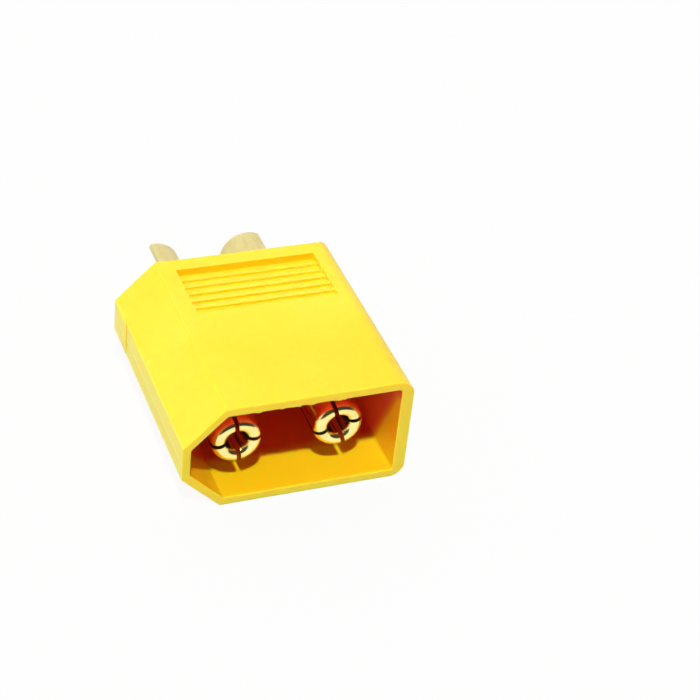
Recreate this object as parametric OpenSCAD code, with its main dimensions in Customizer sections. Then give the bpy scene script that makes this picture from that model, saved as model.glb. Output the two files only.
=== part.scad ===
// Two-pole power connector, pin half: a keyed moulded shroud around two split bullet contacts.
// X runs across the width, with the key chamfers on the -X side. The mouth faces -Y and the
// solder cups point to +Y. Z = 0 is the face it lies on; X = Y = 0 is the middle of its footprint.

/* [Housing] */
// Width of the moulded body
housing_w = 15.9; // [14.8:0.1:20]
// Height of the moulded body
housing_h = 8.1; // [7.2:0.1:10]
// Length of the moulded body, mouth to rear face
housing_l = 17.15; // [15.2:0.05:22]
// Leg of the two 45 degree chamfers that key the -X side
key_chamfer = 2.8; // [1.6:0.1:3.2]
// Radius along the two square corners on the +X side
corner_r = 1.2; // [0.3:0.05:1.4]
// Radius along the edges of the key chamfers
key_r = 0.5; // [0.1:0.05:1]
// Rounding of the outer edge at the mouth
mouth_r = 0.1; // [0.05:0.05:0.3]
// Rounding of the outer edge at the rear
rear_r = 0.4; // [0.1:0.05:0.8]

/* [Socket] */
// Depth of the socket behind the mouth
socket_depth = 8.6; // [6.5:0.1:10]
// Wall over, under and on the -X side of the socket
wall = 0.65; // [0.5:0.05:0.9]
// Wall behind the key chamfers
key_wall = 0.6; // [0.5:0.05:0.9]
// Wall on the +X side of the socket
side_wall = 0.9; // [0.6:0.05:1.2]
// Radius in the corners of the socket
socket_r = 0.25; // [0.1:0.05:0.5]
// Lead-in chamfer around the mouth
lead_in = 0.08; // [0.05:0.01:0.3]

/* [Side grips] */
// Length of the full-width collar at the rear
collar_l = 3.25; // [2:0.05:5]
// How far the narrow sides are set in ahead of the collar
side_relief = 0.06; // [0.04:0.01:0.3]

/* [Ribbed panels] */
// Width of the sunk panel on each broad face
panel_w = 10.15; // [6:0.05:10.4]
// Length of the sunk panel
panel_l = 5.2; // [5.1:0.05:6]
// Distance from the panel to the rear face
panel_back = 1.5; // [0.8:0.05:2]
// Distance from the panel to the square side
panel_side = 1.75; // [1.3:0.05:2.4]
// Depth of the panel at its rear wall
panel_depth = 0.55; // [0.3:0.01:0.7]
// Depth of the panel at its front edge
panel_lip = 0.2; // [0.05:0.01:0.3]
// Number of ribs across the panel
rib_count = 5; // [3:1:5]
// Distance from the front edge of the panel to the first rib
rib_front = 0.61; // [0.5:0.01:0.7]
// Distance from one rib to the next
rib_pitch = 0.91; // [0.75:0.01:0.95]
// Width of a rib
rib_w = 0.42; // [0.3:0.01:0.6]
// Height of a rib over the panel floor
rib_h = 0.17; // [0.08:0.01:0.25]

/* [Contacts] */
// Distance between the two contacts
pitch = 7.1; // [6:0.05:7.8]
// Offset of the contact pair from the middle of the width
pair_shift = -0.15; // [-0.4:0.05:0.4]
// Diameter of the pin
pin_d = 3.5; // [3:0.05:3.6]
// Distance from the mouth to the tip of the pin
tip_back = 1.3; // [0.5:0.1:2.5]
// Length of the rounded nose of the pin
nose_l = 0.6; // [0.5:0.05:1.6]
// Depth of the rounding where the nose rolls over into the bore
nose_lip = 0.4; // [0.1:0.05:0.5]
// Diameter of the bore up the pin
pin_bore_d = 1.5; // [1.4:0.05:2]
// Depth of that bore
pin_bore_l = 6.8; // [6:0.1:8]
// Width of the two crossed slots
slot_w = 0.3; // [0.15:0.05:0.5]
// Length of the slots from the tip
slot_l = 5.6; // [3:0.1:6]
// Turn of the slots against the opening of the solder cup
slot_turn = 22; // [0:1:45]
// Roll of the positive contact in its seat, seen from the mouth
positive_roll = -7; // [-20:1:20]
// Roll of the negative contact in its seat, seen from the mouth
negative_roll = -16; // [-20:1:20]

/* [Contact seats] */
// Step of the land, on the radius, that fills the hole in the floor of the socket
root_step = 0.17; // [0.16:0.01:0.2]
// Diameter of the seated body
body_d = 4.2; // [4.1:0.05:4.6]
// Distance from the end of the seated body to the rear face
body_back = 0.3; // [0.1:0.05:0.8]
// Wall between the socket and the shoulder of a contact
web_l = 1.2; // [0.8:0.1:2]
// Step of the retaining barbs over the body
barb_h = 0.15; // [0.05:0.01:0.25]
// Length of a barb
barb_l = 0.8; // [0.5:0.05:1.2]
// Number of barbs on a contact
barb_count = 2; // [1:1:3]
// Clearance of a contact in its seat, on the radius
seat_fit = 0.03; // [0.02:0.01:0.08]

/* [Solder cups] */
// Diameter of the cup
cup_d = 3.9; // [3.7:0.05:4]
// Length of the cup beyond the rear face
cup_out = 5.1; // [4:0.1:7]
// Diameter of the wire hole
cup_bore_d = 3.2; // [2.6:0.05:3.3]
// Depth of the wire hole from the end of the cup
cup_bore_l = 7; // [5.6:0.1:8]
// Height of the cut edges beyond the axis
cup_cut = 0.7; // [0:0.05:1.2]
// Closed ring left between the rear face and the cut
cup_ring = 0.7; // [0.4:0.05:1.2]
// Radius of the cutter that opens the cup
cutter_r = 1.8; // [1:0.1:2.4]
// Chamfer around the end of the cup
cup_chamfer = 0.1; // [0.05:0.05:0.3]

/* [Hidden] */
$fn = 96;
arc_steps = 6;
over = 1;
reach = 3 * housing_w;
drill_point_angle = 118;
mid_z = housing_h / 2;
overall_l = housing_l + cup_out;
mouth_y = -overall_l / 2;
rear_y = mouth_y + housing_l;
pin_r = pin_d / 2;
root_r = pin_r + root_step;
body_r = body_d / 2;
cup_r = cup_d / 2;
pin_bore_r = pin_bore_d / 2;
nose_crest_r = (pin_bore_r + pin_r) / 2;
shoulder = socket_depth + web_l;
first_barb = (shoulder + housing_l - barb_count * barb_l) / 2;
tip_to_bore_end = tip_back + pin_bore_l;

// Each face that runs along Y: the angle of its outward normal, its distance from the middle
// of the section and the wall behind it
key_reach = (housing_w / 2 - key_chamfer + mid_z) / sqrt(2);
faces = [
    [0, housing_w / 2, side_wall],
    [90, mid_z, wall],
    [135, key_reach, key_wall],
    [180, housing_w / 2, wall],
    [225, key_reach, key_wall],
    [270, mid_z, wall],
];

function unit(v) = v / norm(v);

// Points that round the corner c, between its neighbours a and b, to radius r
function rounded_corner(a, c, b, r) =
    let (
        half = acos(unit(a - c) * unit(b - c)) / 2,
        centre = c + unit(unit(a - c) + unit(b - c)) * r / sin(half),
        first = c + unit(a - c) * r / tan(half) - centre,
        start = atan2(first.y, first.x)
    )
    [for (i = [0:arc_steps])
        let (t = start + (180 - 2 * half) * i / arc_steps)
        centre + r * [cos(t), sin(t)]];

// A convex outline, counter-clockwise, with a radius for each corner
function rounded_outline(corners, radii) =
    let (n = len(corners))
    [for (i = [0:n - 1]) each radii[i] > 0
        ? rounded_corner(corners[(i + n - 1) % n], corners[i], corners[(i + 1) % n], radii[i])
        : [corners[i]]];

// The keyed section between x0 and x1 and between z0 and z1
function keyed_corners(x0, x1, z0, z1, leg) = [
    [x0 + leg, z0], [x1, z0], [x1, z1], [x0 + leg, z1], [x0, z1 - leg], [x0, z0 + leg],
];

// A prism with its section drawn in X and Z, from y to y + length
module along_y(y, length) {
    translate([0, y + length, 0]) rotate([90, 0, 0]) linear_extrude(length) children();
}

// A thick slab that ends on one face, its edge drawn in distance and depth behind the mouth
module up_to_face(face, edge) {
    translate([0, mouth_y, mid_z]) rotate([0, -face[0], 0])
        linear_extrude(2 * reach, center = true) polygon(edge);
}

// The outside: the keyed section, with the edges at the mouth and the rear rounded off each face
module shroud() {
    section = keyed_corners(-housing_w / 2, housing_w / 2, 0, housing_h, key_chamfer);
    intersection() {
        along_y(mouth_y, housing_l)
            polygon(rounded_outline(section, [key_r, corner_r, corner_r, key_r, key_r, key_r]));
        intersection_for (face = faces)
            up_to_face(face, rounded_outline(
                [[-reach, 0], [face[1], 0], [face[1], housing_l], [-reach, housing_l]],
                [0, mouth_r, rear_r, 0]));
    }
}

// The socket follows the keyed section inside its walls and opens out at the mouth
module socket() {
    leg = key_chamfer + key_wall * sqrt(2) - 2 * wall;
    section = keyed_corners(-housing_w / 2 + wall, housing_w / 2 - side_wall,
        wall, housing_h - wall, leg);
    along_y(mouth_y - over, socket_depth + over)
        polygon(rounded_outline(section, [for (corner = section) socket_r]));
    intersection_for (face = faces)
        let (inside = face[1] - face[2])
        up_to_face(face, [[-reach, -over], [inside + lead_in + over, -over],
            [inside, lead_in], [-reach, lead_in]]);
}

// The narrow sides are set in from the mouth to the collar
module side_reliefs() {
    length = housing_l - collar_l;
    for (side = [-1, 1])
        translate([side * (housing_w / 2 - side_relief + over), mouth_y + (length - over) / 2, mid_z])
            cube([2 * over, length + over, housing_h + 2 * over], center = true);
}

// Along the panel, s runs from its front edge to its rear wall and the floor falls with it
function floor_depth(s) = panel_lip + (panel_depth - panel_lip) * s / panel_l;
function rib_start(i) = rib_front + i * rib_pitch;

module panel() {
    ribs = [for (i = [0:rib_count - 1])
        let (a = rib_start(i), b = a + rib_w)
        each [[a, -floor_depth(a)], [a, rib_h - floor_depth(a)],
            [b, rib_h - floor_depth(b)], [b, -floor_depth(b)]]];
    translate([housing_w / 2 - panel_side - panel_w, rear_y - panel_back - panel_l, housing_h])
        rotate([90, 0, 90]) linear_extrude(panel_w)
            polygon(concat([[0, over], [0, -floor_depth(0)]], ribs,
                [[panel_l, -panel_depth], [panel_l, over]]));
}

// Stands a turned part, drawn up its axis from the mouth, in its place in the housing
module in_place(side) {
    translate([pair_shift + side * pitch / 2, mouth_y, mid_z]) rotate([-90, 0, 0]) children();
}

// The stepped and barbed outline that a contact and its seat share, from the shoulder on
function seated_outline(fit, end) = [
    [root_r + fit, shoulder - fit], [body_r + fit, shoulder - fit],
    for (i = [0:barb_count - 1])
        let (z = first_barb + i * barb_l + fit)
        each [[body_r + fit, z], [body_r + fit + barb_h, z + barb_l], [body_r + fit, z + barb_l]],
    [body_r + fit, end],
];

module seat() {
    rotate_extrude() polygon(concat(
        [[0, socket_depth - over], [root_r + seat_fit, socket_depth - over]],
        seated_outline(seat_fit, housing_l + over), [[0, housing_l + over]]));
}

module housing() {
    color("gold") difference() {
        shroud();
        socket();
        side_reliefs();
        panel();
        translate([0, 0, housing_h]) mirror([0, 0, 1]) panel();
        for (side = [-1, 1]) in_place(side) seat();
    }
}

// The turned blank: the nose rolls over from the bore to the pin, then come land, shoulder and barbs
module blank() {
    lip = [for (i = [0:arc_steps])
        let (t = 90 * i / arc_steps)
        [nose_crest_r - (nose_crest_r - pin_bore_r) * cos(t), tip_back + nose_lip * (1 - sin(t))]];
    cheek = [for (i = [1:arc_steps])
        let (t = 90 * i / arc_steps)
        [nose_crest_r + (pin_r - nose_crest_r) * sin(t), tip_back + nose_l * (1 - cos(t))]];
    land = [[pin_r, socket_depth], [root_r, socket_depth]];
    rotate_extrude() polygon(concat([[0, tip_back + nose_lip]], lip, cheek, land,
        seated_outline(0, housing_l - body_back),
        [[cup_r, housing_l - body_back], [cup_r, overall_l - cup_chamfer],
            [cup_r - cup_chamfer, overall_l], [0, overall_l]]));
}

// A drilled hole of radius r from z to its shoulder at the end, with a drill point beyond
module drilled(r, z, end) {
    point = sign(end - z) * r / tan(drill_point_angle / 2);
    rotate_extrude() polygon(end > z
        ? [[0, z], [r, z], [r, end], [0, end + point]]
        : [[0, end + point], [r, end], [r, z], [0, z]]);
}

module crossed_slots() {
    for (turn = [0, 90])
        rotate([0, 0, turn - slot_turn])
            translate([0, 0, tip_back + (slot_l - over) / 2])
                cube([pin_d + 2 * over, slot_w, slot_l + over], center = true);
}

// The cutter runs in from the end of the cup and leaves its own radius at the closed ring
module cup_opening() {
    start = housing_l + cup_ring;
    width = cup_d + 2 * over;
    translate([cup_cut, -width / 2, start + cutter_r])
        cube([reach, width, cup_out + over]);
    translate([cup_cut + cutter_r, -width / 2, start])
        cube([reach, width, cup_out + over]);
    translate([cup_cut + cutter_r, 0, start + cutter_r])
        rotate([90, 0, 0]) cylinder(h = width, r = cutter_r, center = true);
}

// One turned contact, with the cup open towards +X before it is rolled in its seat
module contact(roll) {
    rotate([0, 0, -roll]) difference() {
        blank();
        drilled(pin_bore_r, tip_back - over, tip_to_bore_end);
        drilled(cup_bore_d / 2, overall_l + over, overall_l - cup_bore_l);
        crossed_slots();
        cup_opening();
    }
}

module positive_contact() {
    color("goldenrod") in_place(1) contact(positive_roll);
}

module negative_contact() {
    color("goldenrod") in_place(-1) contact(180 + negative_roll);
}

housing();
positive_contact();
negative_contact();
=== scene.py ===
import math

import bmesh
import bpy
from mathutils import Matrix, Vector, noise


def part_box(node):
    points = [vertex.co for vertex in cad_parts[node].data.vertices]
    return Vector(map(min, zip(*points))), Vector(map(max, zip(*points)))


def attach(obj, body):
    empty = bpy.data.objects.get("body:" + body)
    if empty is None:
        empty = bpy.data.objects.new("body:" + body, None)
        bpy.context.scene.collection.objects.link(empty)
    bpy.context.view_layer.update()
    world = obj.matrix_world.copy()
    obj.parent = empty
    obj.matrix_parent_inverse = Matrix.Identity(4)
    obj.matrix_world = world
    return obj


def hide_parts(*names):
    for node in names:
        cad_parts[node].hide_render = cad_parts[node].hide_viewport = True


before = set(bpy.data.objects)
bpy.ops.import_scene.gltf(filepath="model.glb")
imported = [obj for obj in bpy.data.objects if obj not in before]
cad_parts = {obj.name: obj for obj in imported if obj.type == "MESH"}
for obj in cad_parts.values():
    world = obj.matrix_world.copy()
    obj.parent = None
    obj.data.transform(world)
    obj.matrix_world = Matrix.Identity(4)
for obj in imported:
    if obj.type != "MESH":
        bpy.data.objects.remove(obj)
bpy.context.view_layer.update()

# Shapes are worked out in millimetres in the frame's own axes and written to the meshes in metres
mm = 0.001
housingLow, housingHigh = (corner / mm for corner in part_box("housing"))
mouthY = housingLow.y
rearY = housingHigh.y
midZ = (housingLow.z + housingHigh.z) / 2
sideX = housingHigh.x
socketDepth = 8.6           # from the mouth to the floor of the socket
collarY = rearY - 3.25      # the step at the front of the raised collar
print("frame loaded:", ", ".join(sorted(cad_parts)))


# Camera, solved from the corners of the shroud in the photograph

cameraView = {
    "place": (-0.0371361, -0.0999790, 0.0839951),
    "forward": (0.329639, 0.731562, -0.596787),
    "roll": 6.693,          # degrees, the right side of the picture lifted
    "lens": 98.0,           # for a square picture on a 36 mm sensor
    "sensor": 36,
    "nearest": 0.001,       # metres that the camera sees from and to
    "farthest": 10,
}


def makeCamera(view):
    camera = bpy.data.objects.new("camera", bpy.data.cameras.new("camera"))
    camera.data.lens = view["lens"]
    camera.data.sensor_width = view["sensor"]
    camera.data.clip_start = view["nearest"]
    camera.data.clip_end = view["farthest"]
    forward = Vector(view["forward"]).normalized()
    level = forward.cross(Vector((0, 0, 1))).normalized()
    right = Matrix.Rotation(-math.radians(view["roll"]), 3, forward) @ level
    up = right.cross(forward)
    turn = Matrix((right, up, -forward)).transposed().to_4x4()
    camera.matrix_world = Matrix.Translation(view["place"]) @ turn
    bpy.context.scene.collection.objects.link(camera)
    bpy.context.scene.camera = camera


makeCamera(cameraView)
print("camera placed")


# Node helper for the materials and the world

class Nodes:
    # Adds nodes and joins them; a plain number or colour goes straight on its socket
    def __init__(self, owner):
        owner.use_nodes = True
        self.tree = owner.node_tree
        self.coordinates = self.add("ShaderNodeTexCoord").outputs
        self.place = self.coordinates["Object"]

    def add(self, kind, inputs=None, **settings):
        node = self.tree.nodes.new(kind)
        for key, value in settings.items():
            setattr(node, key, value)
        for key, value in (inputs or {}).items():
            self.put(value, node.inputs[key])
        return node

    def put(self, value, socket):
        if isinstance(value, bpy.types.NodeSocket):
            self.tree.links.new(value, socket)
        else:
            socket.default_value = value

    # Features of that size in millimetres, longer along an axis whose stretch is small
    def noise(self, size, detail=2.0, stretch=(1, 1, 1)):
        mapping = self.add("ShaderNodeMapping", {"Vector": self.place, "Scale": stretch})
        return self.add("ShaderNodeTexNoise", {
            "Vector": mapping.outputs["Vector"], "Scale": 1 / (size * mm), "Detail": detail,
        }).outputs["Fac"]

    def between(self, value, low, high, toLow=0.0, toHigh=1.0, smooth=False):
        return self.add("ShaderNodeMapRange", {
            "Value": value, "From Min": low, "From Max": high, "To Min": toLow, "To Max": toHigh,
        }, interpolation_type="SMOOTHSTEP" if smooth else "LINEAR").outputs["Result"]

    # The same for a length, whose two limits are given in millimetres
    def fade(self, length, low, high, toLow=0.0, toHigh=1.0, smooth=False):
        return self.between(length, low * mm, high * mm, toLow, toHigh, smooth)

    def mix(self, factor, first, second):
        node = self.add("ShaderNodeMix", {0: factor}, data_type="RGBA")
        for key, value in ((6, first), (7, second)):
            colour = value if isinstance(value, bpy.types.NodeSocket) else (*value, 1)
            self.put(colour, node.inputs[key])
        return node.outputs[2]

    def math(self, operation, first, second=0):
        return self.add("ShaderNodeMath", {0: first, 1: second}, operation=operation).outputs[0]

    def along(self, axis):
        return self.add("ShaderNodeSeparateXYZ", {"Vector": self.place}).outputs[axis]

    # A number that each face carries under that name
    def mark(self, name):
        return self.add("ShaderNodeAttribute", attribute_name=name).outputs["Fac"]

    # A bump whose full height is that depth in millimetres
    def bump(self, height, depth, under=None):
        inputs = {"Height": height, "Distance": depth * mm, "Strength": 1.0}
        if under:
            inputs["Normal"] = under
        return self.add("ShaderNodeBump", inputs).outputs["Normal"]


# The moulded nylon. A pair of lengths is the start and the end of a fade, in millimetres

nylonLook = {
    "colour": (0.98, 0.70, 0.022),
    "pale": (0.98, 0.73, 0.042),
    "deep": (0.98, 0.68, 0.012),
    "thinWallAndShade": (0.98, 0.615, 0.003),       # deeper over the thin wall round the socket, and a painted shade towards the right
    "thinFade": (10, 4),                # behind the mouth
    "shadeAcross": (-6, 6),              # painted shade across the top, weaker towards the key chamfers
    # The mouth's front face, painted paler: a painted light
    "rim": (1.0, 0.74, 0.03),
    "rimFade": (0.12, 0.05),            # behind the mouth
    "sunk": (0.99, 0.66, 0.004),        # painted shade on the walls of the sunk panels, the collar's step and the foot ahead of it
    # A paler tone for worn edges, the speck and the parting line, and a painted sheen over the
    # narrow sides
    "edge": (0.99, 0.87, 0.10),
    "sideFade": (0.15, 0.09),           # inside the widest place
    "partingFade": (0.20, 0.06),        # from the middle of the height
    "footFade": (0.30, 0.06),           # painted shade ahead of the collar's step
    "footEnd": 0.02,                    # behind that step
    "inside": (0.97, 0.61, 0.004),      # the lower wall of the socket, which the light reaches, painted deeper than outside as shade
    "wall": (0.99, 0.42, 0.006),        # painted shade up the sides of the socket
    "wallFade": (0.7, 4.0),             # over the underside
    "root": (0.93, 0.14, 0.06),         # painted shade, red, on the socket's upper wall and floor, standing in for light soaked through the walls
    "rootFade": (3.5, 4.7),             # behind the mouth, and further back near the underside
    "rootAbove": (6.2, 6.8),            # over the underside
    "roughness": 0.38,
    "smoother": 0.025,                  # how far the roughness strays down and up
    "rougher": 0.035,
    "gloss": 0.36,
    "translucency": 0.75,
    "scatter": 1.0,                     # millimetres that red light spreads in it
    "scatterColours": (1.0, 0.05, 0.02),
    "speck": (-7.66, -2.07, 5.59),      # a pale moulding speck on a key chamfer
    "speckFade": (0.28, 0.10),
    "peel": 0.012,                      # depths in millimetres
    "grain": 0.0035,
    "raised": 0.02,                     # the parting line and the speck
}


# The socket's colours are painted shade: a deeper lower wall, deeper orange up the sides, and red
# towards the back and the upper wall
def socketShadeColour(n, look, cloud):
    z = n.along("Z")
    mottled = n.mix(cloud, look["inside"], look["colour"])
    height = n.fade(z, *look["wallFade"], 0.1, 1.0)
    lit = n.mix(height, n.mix(0.7, mottled, look["inside"]), look["wall"])
    # Painted red shade towards the back and over the upper wall
    reach = n.math("ADD", n.along("Y"), n.math("MULTIPLY", z, 0.5))
    back = n.fade(reach, *(mouthY + length for length in look["rootFade"]), smooth=True)
    above = n.fade(z, *look["rootAbove"])
    return n.mix(n.math("MAXIMUM", back, above), lit, look["root"])


# Gives the colour back with the height of what stands out of the surface
def outsideColour(n, look, cloud):
    x, y, z = (n.along(axis) for axis in "XYZ")
    colour = n.mix(cloud, look["deep"], look["pale"])
    flow = n.between(n.noise(1.6, 4, (1, 0.25, 1)), 0.35, 0.75, 0, 0.5)
    colour = n.mix(flow, colour, look["colour"])
    # Deeper over the thin wall towards the mouth, with a painted shade that strengthens it towards
    # the right
    thinWallAndShade = n.fade(y, *(mouthY + length for length in look["thinFade"]), 0, 0.7, smooth=True)
    thinWallAndShade = n.math("MULTIPLY", thinWallAndShade, n.fade(x, *look["shadeAcross"], 0.2, 1))
    colour = n.mix(thinWallAndShade, colour, look["thinWallAndShade"])
    # The mouth's front face is painted paler: a painted light
    rim = n.fade(y, *(mouthY + length for length in look["rimFade"]), 0, 0.8)
    colour = n.mix(rim, colour, look["rim"])
    colour = n.mix(n.mark("sunk"), colour, look["sunk"])
    # The narrow sides: painted paler all over as a painted sheen, a parting line along the middle
    # and a painted shade at the foot of the collar's step
    side = n.fade(n.math("ABSOLUTE", x), *(sideX - length for length in look["sideFade"]))
    away = n.math("ABSOLUTE", n.math("SUBTRACT", z, midZ * mm))
    line = n.math("MULTIPLY", side, n.fade(away, *look["partingFade"], smooth=True))
    colour = n.mix(n.math("MULTIPLY", n.math("ADD", side, line), 0.45), colour, look["edge"])
    footShade = n.fade(y, *(collarY - length for length in look["footFade"]), smooth=True)
    footShade = n.math("MULTIPLY", footShade, n.math("LESS_THAN", y, (collarY + look["footEnd"]) * mm))
    footShade = n.math("MULTIPLY", n.math("MULTIPLY", footShade, side), 0.75)
    colour = n.mix(footShade, colour, look["sunk"])
    distance = n.add("ShaderNodeVectorMath", {0: n.place, 1: Vector(look["speck"]) * mm},
                     operation="DISTANCE").outputs["Value"]
    speck = n.fade(distance, *look["speckFade"], smooth=True)
    colour = n.mix(speck, colour, look["edge"])
    worn = n.between(n.noise(0.9, 3), 0.35, 0.65, 0.2, 0.8)
    colour = n.mix(n.math("MULTIPLY", n.mark("edge"), worn), colour, look["edge"])
    return colour, n.math("MAXIMUM", line, speck)


def nylonMaterial(name, look, inside=False):
    material = bpy.data.materials.new(name)
    n = Nodes(material)
    shader = n.tree.nodes["Principled BSDF"].inputs
    cloud = n.between(n.noise(7, 3), 0.3, 0.7)
    grain = n.bump(n.noise(0.09, 3), look["grain"], under=n.bump(n.noise(0.9, 2), look["peel"]))
    if inside:
        colour = socketShadeColour(n, look, cloud)
    else:
        colour, raised = outsideColour(n, look, cloud)
        grain = n.bump(raised, look["raised"], under=grain)
    n.put(colour, shader["Base Color"])
    smooth, rough = look["roughness"] - look["smoother"], look["roughness"] + look["rougher"]
    n.put(n.between(n.noise(2.2, 4), 0.3, 0.7, smooth, rough), shader["Roughness"])
    shader["Specular IOR Level"].default_value = look["gloss"]
    shader["Subsurface Weight"].default_value = look["translucency"]
    shader["Subsurface Radius"].default_value = look["scatterColours"]
    shader["Subsurface Scale"].default_value = look["scatter"] * mm
    n.put(grain, shader["Normal"])
    return material


# The gold-plated contacts

goldLook = {
    "colour": (1.0, 0.92, 0.36),
    "rich": (0.99, 0.84, 0.27),
    "cup": (0.75, 0.655, 0.31),         # the dull plating on the solder cups
    "cupDark": (0.675, 0.56, 0.22),
    "cupFade": (-1.0, 0.1),             # millimetres from the rear face
    "cupShine": 0.6,                    # how metallic the dull plating is
    "roughness": 0.13,
    "cupRoughness": 0.48,
    "groove": 0.05,                     # spacing of the tool marks, millimetres
    "grooveDepth": 0.0015,
    "pitDepth": 0.0012,
}


def goldMaterial(name, look):
    material = bpy.data.materials.new(name)
    n = Nodes(material)
    shader = n.tree.nodes["Principled BSDF"].inputs
    y = n.along("Y")
    dull = n.fade(y, *(rearY + length for length in look["cupFade"]))
    bright = n.mix(n.between(n.noise(1.1, 3), 0.35, 0.65), look["colour"], look["rich"])
    stains = n.between(n.noise(0.8, 4, (1, 0.4, 1)), 0.35, 0.65)
    matt = n.mix(stains, look["cup"], look["cupDark"])
    n.put(n.mix(dull, bright, matt), shader["Base Color"])
    n.put(n.between(dull, 0, 1, 1.0, look["cupShine"]), shader["Metallic"])
    smudge = n.between(n.noise(0.7, 4), 0.35, 0.7, -0.02, 0.07)
    level = n.between(dull, 0, 1, look["roughness"], look["cupRoughness"])
    n.put(n.math("ADD", level, smudge), shader["Roughness"])
    rings = n.add("ShaderNodeTexNoise", {
        "W": n.math("DIVIDE", y, look["groove"] * mm), "Scale": 1.0, "Detail": 2.0,
    }, noise_dimensions="1D").outputs["Fac"]
    grooves = n.bump(rings, look["grooveDepth"])
    n.put(n.bump(n.noise(0.12, 3), look["pitDepth"], under=grooves), shader["Normal"])
    return material


nylon = nylonMaterial("moulded nylon", nylonLook)
shadedSocketNylon = nylonMaterial("nylon in the socket with painted shade", nylonLook, inside=True)
gold = goldMaterial("turned gold plate", goldLook)
print("materials made")


# Mesh helpers

smoothing = 38      # degrees up to which a piece is shaded as smooth


# A smooth piece from a bmesh in millimetres; it rides with the connector's one body
def addPiece(name, build, materials, replaces):
    bmesh.ops.scale(build, vec=(mm, mm, mm), verts=build.verts)
    mesh = bpy.data.meshes.new(name)
    build.to_mesh(mesh)
    build.free()
    piece = bpy.data.objects.new(name, mesh)
    bpy.context.scene.collection.objects.link(piece)
    for material in materials:
        mesh.materials.append(material)
    mesh.shade_smooth()
    mesh.set_sharp_from_angle(angle=math.radians(smoothing))
    weighted = piece.modifiers.new("flat faces stay flat", "WEIGHTED_NORMAL")
    weighted.keep_sharp = True
    weighted.mode = "FACE_AREA"
    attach(piece, "root")
    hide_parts(replaces)
    return piece


def sharpEdges(build, angle):
    return [e for e in build.edges if e.is_manifold and e.calc_face_angle(0) > math.radians(angle)]


def soften(build, edges, width, segments):
    return bmesh.ops.bevel(build, geom=edges, offset=width, offset_type="OFFSET", segments=segments,
                           profile=0.5, affect="EDGES", clamp_overlap=True)


# A round part from an outline of (radius, length) points that starts and ends on the axis
def turned(outline, sides):
    build = bmesh.new()
    rings = []
    for radius, length in outline:
        if radius < 1e-6:
            rings.append([build.verts.new((0, length, 0))] * sides)
            continue
        ring = []
        for i in range(sides):
            angle = 2 * math.pi * i / sides
            point = (radius * math.cos(angle), length, radius * math.sin(angle))
            ring.append(build.verts.new(point))
        rings.append(ring)
    for one, two in zip(rings, rings[1:]):
        for i in range(sides):
            j = (i + 1) % sides
            corners = list(dict.fromkeys((one[i], one[j], two[j], two[i])))
            build.faces.new(corners)
    bmesh.ops.recalc_face_normals(build, faces=build.faces)
    return build


# A bar whose outline of (u, v) points is drawn on two axes and pulled out evenly along the third
def bar(outline, place, reach):
    build = bmesh.new()
    ends = []
    for side in (-1, 1):
        ends.append([build.verts.new(place(u, v, side * reach)) for u, v in outline])
    build.faces.new(ends[0])
    build.faces.new(ends[1])
    for i in range(len(outline)):
        j = (i + 1) % len(outline)
        build.faces.new((ends[0][i], ends[0][j], ends[1][j], ends[1][i]))
    bmesh.ops.recalc_face_normals(build, faces=build.faces)
    return build


# Cuts each cutter out of the blank and gives back the mesh that is left
def cutAway(blank, cutters):
    made = []
    for build in [blank] + cutters:
        mesh = bpy.data.meshes.new("cut")
        build.to_mesh(mesh)
        build.free()
        piece = bpy.data.objects.new("cut", mesh)
        bpy.context.scene.collection.objects.link(piece)
        made.append(piece)
    for cutter in made[1:]:
        cut = made[0].modifiers.new("cut", "BOOLEAN")
        cut.operation = "DIFFERENCE"
        cut.solver = "EXACT"
        cut.object = cutter
    bpy.context.view_layer.update()
    left = made[0].evaluated_get(bpy.context.evaluated_depsgraph_get())
    build = bmesh.new()
    build.from_mesh(left.to_mesh())
    left.to_mesh_clear()
    for piece in made:
        mesh = piece.data
        bpy.data.objects.remove(piece)
        bpy.data.meshes.remove(mesh)
    bmesh.ops.remove_doubles(build, verts=build.verts, dist=0.01)
    bmesh.ops.dissolve_degenerate(build, edges=build.edges, dist=0.005)
    return build


# The housing: the frame's solid with its mould edges rounded. Lengths are in millimetres

housingPiece = {
    "edge": 0.07,           # how far an edge is rounded
    "sharp": 28,            # degrees from which an edge counts
    "weld": 0.005,          # points this close are made one
    "flat": 0.3,            # degrees up to which two faces are made one
    "crease": {"length": 10, "angle": 45, "within": 3, "beyond": 5, "round": 0.3},
    "rim": 0.12,            # behind the mouth, where the socket's painted shade starts
    "panelReach": 5.3,      # the sunk panels lie within this of the middle and behind that place
    "panelStart": -1.0,
    "panelWall": (0.02, 0.6),   # depths between which a face is a wall of a panel
    "shallow": 0.31,        # a wall whose middle is not as deep has the stronger painted shade
    "strongShade": 0.9,
    "weakShade": 0.45,
}

flashPiece = {
    "wall": 0.65,           # of the socket, over which the flash hangs down
    "lead": 0.04,           # middle and reach of the lead-in under that wall
    "leadReach": 0.12,
    "mouthReach": 0.05,
    "length": 6,            # shortest edge that carries flash
    "cuts": 110,
    "pitch": 1.1,
    "least": 0.05,
    "height": 0.10,
    "from": -3.6,
    "to": 4.0,
}


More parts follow.
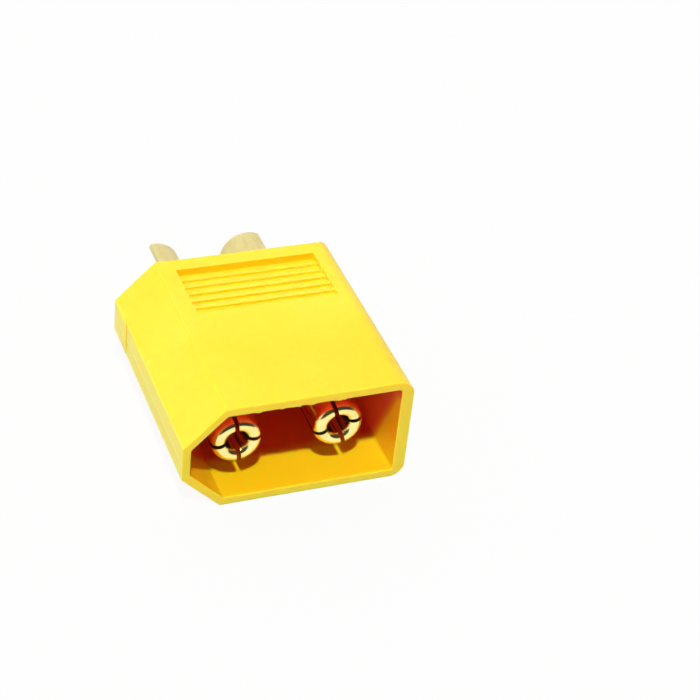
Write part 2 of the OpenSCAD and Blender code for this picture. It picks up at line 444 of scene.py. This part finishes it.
# Slivers of flash that hang from the inner upper edge of the mouth
def makeFlash(build, spec):
    level = housingHigh.z - spec["wall"]

    def onLead(point):
        return abs(point.z - level - spec["lead"]) < spec["leadReach"]

    edges = [e for e in build.edges if e.calc_length() > spec["length"]
             and all(v.co.y < mouthY + spec["leadReach"] and onLead(v.co) for v in e.verts)
             and abs(e.verts[0].co.x - e.verts[1].co.x) > spec["length"]]
    bmesh.ops.subdivide_edges(build, edges=edges, cuts=spec["cuts"], use_grid_fill=True)
    moved = 0
    for v in build.verts:
        x = v.co.x
        if v.co.y > mouthY + spec["mouthReach"] or not onLead(v.co):
            continue
        if not spec["from"] < x < spec["to"]:
            continue
        ragged = noise.noise(Vector((x * spec["pitch"], 3.7, 0)))
        ragged += 0.5 * noise.noise(Vector((x * spec["pitch"] * 3, 8.1, 0)))
        inner = min(1, 2 * min(abs(x - spec["from"]), abs(x - spec["to"])))
        if ragged > spec["least"]:
            v.co.z -= spec["height"] * min(1, (ragged - spec["least"]) * 3) * inner
            moved += 1
    print(len(edges), "edges of the rim cut,", moved, "points moved for the flash")


# The long edges of the key chamfers
def keyCreases(build, spec):
    creases = []
    for e in build.edges:
        one, two = (v.co for v in e.verts)
        turn = math.degrees(e.calc_face_angle(0))
        if (abs(one.y - two.y) > spec["length"] and abs(turn - spec["angle"]) < spec["within"]
                and max(abs(one.x), abs(two.x)) > spec["beyond"]):
            creases.append(e)
    print(len(creases), "creases of the key rounded")
    return creases


# Gives the socket's faces the nylon with painted shade, and marks the walls of the panels and of
# the collar for painted shade
def markFaces(build, spec, edge, sunk):
    socketEnd = mouthY + socketDepth
    least, most = spec["panelWall"]
    for face in build.faces:
        middle = face.calc_center_median()
        across, up = abs(middle.x), abs(middle.z - midZ)
        inward = -Vector((middle.x, 0, middle.z - midZ)).dot(face.normal)
        level = abs(face.normal.z) * up + abs(face.normal.x) * across
        inSocket = mouthY + spec["rim"] < middle.y < socketEnd + 0.1
        floor = face.normal.y < -0.7 and abs(middle.y - socketEnd) < 0.1
        face.material_index = 1 if inSocket and (inward > 0.3 * level or floor) else 0
        below = housingHigh.z - midZ - up
        inPanel = across < spec["panelReach"] and middle.y > spec["panelStart"]
        wall = inPanel and least < below < most and abs(face.normal.z) < 0.9 and face[edge] < 0.5
        step = abs(middle.y - collarY) < 0.1 and face.normal.y < -0.5 and across > sideX - 0.2
        # Painted shade on the walls of the panels and on the collar's step
        if step or wall and below < spec["shallow"]:
            face[sunk] = spec["strongShade"]
        elif wall:
            face[sunk] = spec["weakShade"]


def makeHousing(spec, flash):
    build = bmesh.new()
    build.from_mesh(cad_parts["housing"].data)
    bmesh.ops.scale(build, vec=(1 / mm,) * 3, verts=build.verts)
    bmesh.ops.remove_doubles(build, verts=build.verts, dist=spec["weld"])
    bmesh.ops.dissolve_limit(build, angle_limit=math.radians(spec["flat"]),
                             verts=build.verts, edges=build.edges)
    # Both layers are made before either is used, since making one moves the other
    for name in ("edge", "sunk"):
        build.faces.layers.float.new(name)
    edge, sunk = (build.faces.layers.float[name] for name in ("edge", "sunk"))
    soften(build, keyCreases(build, spec["crease"]), spec["crease"]["round"], 3)
    rounded = soften(build, sharpEdges(build, spec["sharp"]), spec["edge"], 2)
    for face in rounded["faces"]:
        face[edge] = 1.0
    makeFlash(build, flash)
    markFaces(build, spec, edge, sunk)
    return addPiece("moulded_housing", build, [nylon, shadedSocketNylon], "housing")


makeHousing(housingPiece, flashPiece)
print("housing made")


# The contacts: turned blanks, slotted and scooped out, with their cut edges eased

contactPiece = {
    "tip": 1.3,             # lengths in millimetres from the mouth
    "shoulder": 9.8,
    "pin": 1.75,            # radii
    "land": 1.92,
    "body": 2.1,
    "cup": 1.95,
    "bore": 0.75,
    "boreDepth": 6.8,
    "nose": 0.6,
    "lip": 0.4,
    "slotWidth": 0.3,
    "slotLength": 5.6,
    "slotTurn": 22,         # degrees from the opening of the cup
    "barb": (0.15, 0.8, 2),     # height, length and number
    "bodyBack": 0.3,
    "cupBore": 1.6,
    "cupDepth": 7.0,
    "cupEdge": 0.1,
    "cut": 0.7,             # height of the cup's cut edges over the axis
    "ring": 0.7,            # closed length of the cup behind the rear face
    "cutter": 1.8,          # radius that the cut runs out on
    "clear": 4.0,           # height over the axis that the cut reaches
    "drillPoint": 118,
    "ease": 0.035,          # millimetres taken off the cut edges
    "sharp": 35,            # degrees from which an edge is eased
    "sides": 128,
    "noseSteps": 10,
    "scoopSteps": 24,
}


def contactOutline(spec, end):
    bore, pin, body, cup = spec["bore"], spec["pin"], spec["body"], spec["cup"]
    tip, rear = spec["tip"], rearY - mouthY
    crest = (bore + pin) / 2
    slope = math.tan(math.radians(spec["drillPoint"] / 2))
    steps = [math.pi / 2 * i / spec["noseSteps"] for i in range(spec["noseSteps"] + 1)]
    lip = [(crest - (crest - bore) * math.cos(t), tip + spec["lip"] * (1 - math.sin(t)))
           for t in steps]
    cheek = [(crest + (pin - crest) * math.sin(t), tip + spec["nose"] * (1 - math.cos(t)))
             for t in steps]
    height, length, count = spec["barb"]
    first = (spec["shoulder"] + rear - count * length) / 2
    barbs = []
    for i in range(count):
        start = first + i * length
        barbs += [(body, start), (body + height, start + length), (body, start + length)]
    boreEnd = tip + spec["boreDepth"]
    cupFloor = end - spec["cupDepth"]
    return ([(0, boreEnd + bore / slope), (bore, boreEnd)] + lip + cheek[1:]
            + [(pin, socketDepth), (spec["land"], socketDepth),
               (spec["land"], spec["shoulder"]), (body, spec["shoulder"])] + barbs
            + [(body, rear - spec["bodyBack"]), (cup, rear - spec["bodyBack"]),
               (cup, end - spec["cupEdge"]), (cup - spec["cupEdge"], end), (spec["cupBore"], end),
               (spec["cupBore"], cupFloor), (0, cupFloor - spec["cupBore"] / slope)])


# Outline of the cut that opens the cup, in height over the axis and length
def scoopOutline(spec, end):
    start = rearY - mouthY + spec["ring"]
    corner = []
    for i in range(spec["scoopSteps"] + 1):
        t = math.pi / 2 * i / spec["scoopSteps"]
        corner.append((spec["cut"] + spec["cutter"] * (1 - math.cos(t)),
                       start + spec["cutter"] * (1 - math.sin(t))))
    return [(spec["cut"], end + 1)] + corner + [(spec["clear"], start), (spec["clear"], end + 1)]


def makeContact(name, node, spec, opening):
    low, high = (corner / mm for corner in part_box(node))
    end = high.y - mouthY
    slotEnd = spec["tip"] + spec["slotLength"]
    half = spec["slotWidth"] / 2
    slot = [(-half, -1), (half, -1), (half, slotEnd), (-half, slotEnd)]
    cutters = [bar(scoopOutline(spec, end), lambda u, v, w: (u, v, w), spec["body"] + 1)]
    for turn in (0, 90):
        angle = math.radians(spec["slotTurn"] + turn)
        across = Vector((-math.sin(angle), 0, math.cos(angle)))
        away = Vector((math.cos(angle), 0, math.sin(angle)))
        cutters.append(bar(slot, lambda u, v, w: across * u + away * w + Vector((0, v, 0)),
                           spec["pin"] + 1))
    build = cutAway(turned(contactOutline(spec, end), spec["sides"]), cutters)
    soften(build, sharpEdges(build, spec["sharp"]), spec["ease"], 2)
    centre = Vector(((low.x + high.x) / 2, mouthY, midZ))
    roll = Matrix.Rotation(-math.radians(opening), 4, "Y")
    bmesh.ops.transform(build, matrix=Matrix.Translation(centre) @ roll, verts=build.verts)
    return addPiece(name, build, [gold], node)


# Each cup opens this many degrees round from +X towards +Z
makeContact("positive_turned_contact", "positive_contact", contactPiece, -7)
makeContact("negative_turned_contact", "negative_contact", contactPiece, 164)
print("contacts made")


# Floor and light

floorLook = {
    "colour": (0.62, 0.62, 0.62),
    "roughness": 0.7,
    "gloss": 0.2,
    "size": 1.2,
    "height": -0.01,        # millimetres, so that it and the underside never share a plane
    "lift": 0.93,           # how much of the white backdrop shows through the shadow on it
}

lightLook = {
    "towards": (-0.20, -0.5, 1.0),      # from the object to the lamp
    "strength": 2.95,
    "colour": (1.0, 0.985, 0.96),
    "spread": 3.0,                      # degrees
    "left": 1.0,                        # the sky's level at the left and at the right
    "right": 0.62,
    "turnover": 0.8,                    # how far to a side that level is reached
    "dark": (0.2, -0.95, 0.27),         # towards the dark part of the studio, before the mouth
    "darkness": 0.95,
    "darkFade": (0.10, 0.55),
}

white = (1, 1, 1, 1)


def makeFloor(look):
    build = bmesh.new()
    bmesh.ops.create_grid(build, x_segments=8, y_segments=8, size=look["size"] / 2)
    mesh = bpy.data.meshes.new("floor")
    build.to_mesh(mesh)
    build.free()
    floor = bpy.data.objects.new("floor", mesh)
    bpy.context.scene.collection.objects.link(floor)
    material = bpy.data.materials.new("pale floor")
    n = Nodes(material)
    shader = n.tree.nodes["Principled BSDF"]
    shader.inputs["Base Color"].default_value = (*look["colour"], 1)
    shader.inputs["Roughness"].default_value = look["roughness"]
    shader.inputs["Specular IOR Level"].default_value = look["gloss"]
    path = n.add("ShaderNodeLightPath").outputs
    seen = n.math("MAXIMUM", path["Is Glossy Ray"], path["Is Transmission Ray"])
    seen = n.math("MULTIPLY", n.math("MAXIMUM", seen, path["Is Camera Ray"]), look["lift"])
    backdrop = n.add("ShaderNodeEmission", {"Color": white, "Strength": 1.0})
    both = n.add("ShaderNodeMixShader", {
        0: seen, 1: shader.outputs["BSDF"], 2: backdrop.outputs["Emission"],
    })
    n.put(both.outputs["Shader"], n.tree.nodes["Material Output"].inputs["Surface"])
    mesh.materials.append(material)
    floor.location.z = look["height"] * mm


def makeLamp(look):
    lamp = bpy.data.objects.new("key light", bpy.data.lights.new("key light", "SUN"))
    lamp.data.energy = look["strength"]
    lamp.data.angle = math.radians(look["spread"])
    lamp.data.color = look["colour"]
    lamp.rotation_mode = "QUATERNION"
    lamp.rotation_quaternion = Vector(look["towards"]).to_track_quat("Z", "Y")
    bpy.context.scene.collection.objects.link(lamp)


def makeSky(look):
    world = bpy.data.worlds.new("studio")
    n = Nodes(world)
    bpy.context.scene.world = world
    direction = n.coordinates["Generated"]
    path = n.add("ShaderNodeLightPath").outputs
    across = n.add("ShaderNodeSeparateXYZ", {"Vector": direction}).outputs["X"]
    level = n.between(across, -look["turnover"], look["turnover"], look["left"], look["right"])
    # Metal and glass show the white backdrop at its full level, with the dark part in it
    mirrored = n.math("MAXIMUM", path["Is Glossy Ray"], path["Is Transmission Ray"])
    facing = n.add("ShaderNodeVectorMath", {0: direction, 1: Vector(look["dark"]).normalized()},
                   operation="DOT_PRODUCT").outputs["Value"]
    shade = n.between(facing, *look["darkFade"], 1.0, 1 - look["darkness"], smooth=True)
    plain = n.tree.nodes["Background"]
    n.put(white, plain.inputs["Color"])
    n.put(n.math("MULTIPLY", n.math("MAXIMUM", mirrored, level), shade), plain.inputs["Strength"])
    backdrop = n.add("ShaderNodeBackground", {"Color": white, "Strength": 1.0})
    both = n.add("ShaderNodeMixShader", {
        0: path["Is Camera Ray"], 1: plain.outputs["Background"], 2: backdrop.outputs["Background"],
    })
    n.put(both.outputs["Shader"], n.tree.nodes["World Output"].inputs["Surface"])


makeFloor(floorLook)
makeLamp(lightLook)
makeSky(lightLook)
bpy.context.scene.view_settings.view_transform = "Standard"
print("floor and lights made")
